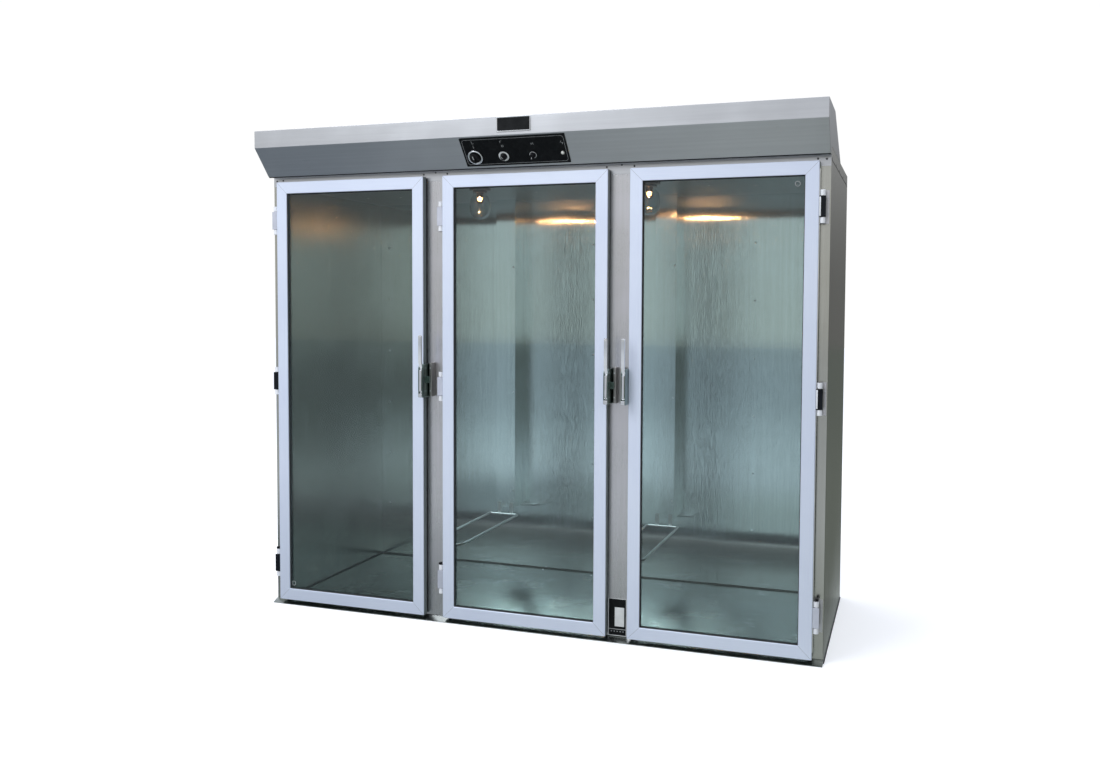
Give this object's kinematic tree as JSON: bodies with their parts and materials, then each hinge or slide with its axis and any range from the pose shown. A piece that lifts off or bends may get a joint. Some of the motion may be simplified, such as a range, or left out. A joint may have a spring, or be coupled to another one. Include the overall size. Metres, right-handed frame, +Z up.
{
  "type": "proofing cabinet",
  "caption": "Tall stainless proofing cabinet with glazed swing doors side by side, ceiling lamps, rear air ducts and an overhead canopy that carries the controls.",
  "frame": {"origin": "middle of the cabinet body's width and depth, on the ground", "axes": "+X to the right as seen by someone facing the doors, -Y out through the doors, +Z up"},
  "size_m": [2.58, 1.1393, 2.238],
  "materials": {
    "blower_housing": "galvanised sheet",
    "blower_motor": "dark grey enamel",
    "blower_wheel": "galvanised sheet",
    "canopy_shell": "brushed stainless sheet",
    "ceiling_panel": "brushed stainless sheet",
    "control_plate": "black enamelled plate with a thin light outline",
    "floor_pan": "worn satin stainless",
    "header_rail": "brushed stainless sheet",
    "heater_element": "heat darkened tube",
    "humidity_knob": "black moulded knob",
    "humidity_water_pan": "brushed stainless sheet",
    "left_air_duct": "brushed stainless sheet",
    "left_door_frame": "bright satin anodised extrusion",
    "left_door_gasket": "soft black rubber",
    "left_door_glass": "clear double glazing, faint green grey tint",
    "left_door_hinge_strip": "plated die casting",
    "left_door_lower_hinge": "plated die casting",
    "left_door_middle_hinge": "plated die casting",
    "left_door_upper_hinge": "plated die casting",
    "left_lamp_base": "white moulded lamp holder",
    "left_lamp_globe": "clear pressed glass jar",
    "left_latch_body": "plated die casting",
    "left_latch_lever": "plated die casting",
    "left_latch_strike": "plated die casting",
    "left_mullion": "brushed stainless sheet",
    "left_rack_guide": "brushed stainless sheet",
    "left_wall": "satin stainless skin over foam",
    "middle_door_frame": "bright satin anodised extrusion",
    "middle_door_gasket": "soft black rubber",
    "middle_door_glass": "clear double glazing, faint green grey tint",
    "middle_door_hinge_strip": "plated die casting",
    "middle_door_lower_hinge": "plated die casting",
    "middle_door_middle_hinge": "plated die casting",
    "middle_door_upper_hinge": "plated die casting",
    "middle_latch_body": "plated die casting",
    "middle_latch_lever": "plated die casting",
    "middle_latch_strike": "plated die casting",
    "mode_knob": "black moulded knob",
    "name_badge": "bare black plate",
    "pilot_lamp": "pale lens",
    "rating_plate": "bare black plate",
    "rear_wall": "satin stainless skin over foam",
    "right_air_duct": "brushed stainless sheet",
    "right_door_frame": "bright satin anodised extrusion",
    "right_door_gasket": "soft black rubber",
    "right_door_glass": "clear double glazing, faint green grey tint",
    "right_door_hinge_strip": "plated die casting",
    "right_door_lower_hinge": "plated die casting",
    "right_door_middle_hinge": "plated die casting",
    "right_door_upper_hinge": "plated die casting",
    "right_lamp_base": "white moulded lamp holder",
    "right_lamp_globe": "clear pressed glass jar",
    "right_latch_body": "plated die casting",
    "right_latch_lever": "plated die casting",
    "right_latch_strike": "plated die casting",
    "right_mullion": "brushed stainless sheet",
    "right_rack_guide": "brushed stainless sheet",
    "right_wall": "satin stainless skin over foam",
    "roof_panel": "brushed stainless sheet",
    "temperature_knob": "black moulded knob"
  },
  "bodies": {
    "cabinet": {"blower_housing": "blower_housing", "blower_motor": "blower_motor", "canopy_shell": "canopy_shell", "ceiling_panel": "ceiling_panel", "control_plate": "control_plate", "floor_pan": "floor_pan", "header_rail": "header_rail", "heater_element": "heater_element", "humidity_water_pan": "humidity_water_pan", "left_air_duct": "left_air_duct", "left_door_lower_hinge": "left_door_lower_hinge", "left_door_middle_hinge": "left_door_middle_hinge", "left_door_upper_hinge": "left_door_upper_hinge", "left_lamp_base": "left_lamp_base", "left_lamp_globe": "left_lamp_globe", "left_latch_strike": "left_latch_strike", "left_mullion": "left_mullion", "left_rack_guide": "left_rack_guide", "left_wall": "left_wall", "middle_door_lower_hinge": "middle_door_lower_hinge", "middle_door_middle_hinge": "middle_door_middle_hinge", "middle_door_upper_hinge": "middle_door_upper_hinge", "middle_latch_strike": "middle_latch_strike", "name_badge": "name_badge", "pilot_lamp": "pilot_lamp", "rating_plate": "rating_plate", "rear_wall": "rear_wall", "right_air_duct": "right_air_duct", "right_door_lower_hinge": "right_door_lower_hinge", "right_door_middle_hinge": "right_door_middle_hinge", "right_door_upper_hinge": "right_door_upper_hinge", "right_lamp_base": "right_lamp_base", "right_lamp_globe": "right_lamp_globe", "right_latch_strike": "right_latch_strike", "right_mullion": "right_mullion", "right_rack_guide": "right_rack_guide", "right_wall": "right_wall", "roof_panel": "roof_panel"},
    "left_door": {"left_door_frame": "left_door_frame", "left_door_gasket": "left_door_gasket", "left_door_glass": "left_door_glass", "left_door_hinge_strip": "left_door_hinge_strip", "left_latch_body": "left_latch_body"},
    "left_latch": {"left_latch_lever": "left_latch_lever"},
    "middle_door": {"middle_door_frame": "middle_door_frame", "middle_door_gasket": "middle_door_gasket", "middle_door_glass": "middle_door_glass", "middle_door_hinge_strip": "middle_door_hinge_strip", "middle_latch_body": "middle_latch_body"},
    "middle_latch": {"middle_latch_lever": "middle_latch_lever"},
    "right_door": {"right_door_frame": "right_door_frame", "right_door_gasket": "right_door_gasket", "right_door_glass": "right_door_glass", "right_door_hinge_strip": "right_door_hinge_strip", "right_latch_body": "right_latch_body"},
    "right_latch": {"right_latch_lever": "right_latch_lever"},
    "temperature_dial": {"temperature_knob": "temperature_knob"},
    "humidity_dial": {"humidity_knob": "humidity_knob"},
    "mode_dial": {"mode_knob": "mode_knob"},
    "wheel": {"blower_wheel": "blower_wheel"}
  },
  "joints": [
    {"name": "left_door_hinge", "type": "hinge", "parent": "cabinet", "child": "left_door", "pos_m": [-1.2615, -0.5205, 0.024], "axis": [0, 0, -1], "range_deg": [0, 100]},
    {"name": "middle_door_hinge", "type": "hinge", "parent": "cabinet", "child": "middle_door", "pos_m": [-0.3975, -0.5205, 0.024], "axis": [0, 0, -1], "range_deg": [0, 100]},
    {"name": "right_door_hinge", "type": "hinge", "parent": "cabinet", "child": "right_door", "pos_m": [1.2615, -0.5205, 0.024], "axis": [0, 0, 1], "range_deg": [0, 100]},
    {"name": "left_latch_pull", "type": "hinge", "parent": "left_door", "child": "left_latch", "pos_m": [-0.4697, -0.5705, 1.052], "axis": [1, 0, 0], "range_deg": [0, 30], "stiffness_Nm_per_rad": 1.5, "springref_deg": -8.59},
    {"name": "middle_latch_pull", "type": "hinge", "parent": "middle_door", "child": "middle_latch", "pos_m": [0.3943, -0.5705, 1.052], "axis": [1, 0, 0], "range_deg": [0, 30], "stiffness_Nm_per_rad": 1.5, "springref_deg": -8.59},
    {"name": "right_latch_pull", "type": "hinge", "parent": "right_door", "child": "right_latch", "pos_m": [0.4697, -0.5705, 1.052], "axis": [1, 0, 0], "range_deg": [0, 30], "stiffness_Nm_per_rad": 1.5, "springref_deg": -8.59},
    {"name": "temperature_turn", "type": "hinge", "parent": "cabinet", "child": "temperature_dial", "pos_m": [-0.203, -0.57692, 2.08183], "axis": [0, 0.7495, 0.662], "range_deg": [0, 270]},
    {"name": "humidity_turn", "type": "hinge", "parent": "cabinet", "child": "humidity_dial", "pos_m": [-0.069, -0.57692, 2.08183], "axis": [0, 0.7495, 0.662], "range_deg": [0, 270]},
    {"name": "mode_turn", "type": "hinge", "parent": "cabinet", "child": "mode_dial", "pos_m": [0.065, -0.57692, 2.08183], "axis": [0, 0.7495, 0.662], "range_deg": [0, 90]},
    {"name": "blower_spin", "type": "hinge", "parent": "cabinet", "child": "wheel", "pos_m": [0.26, -0.4225, 2.1503], "axis": [1, 0, 0], "continuous": true}
  ]
}
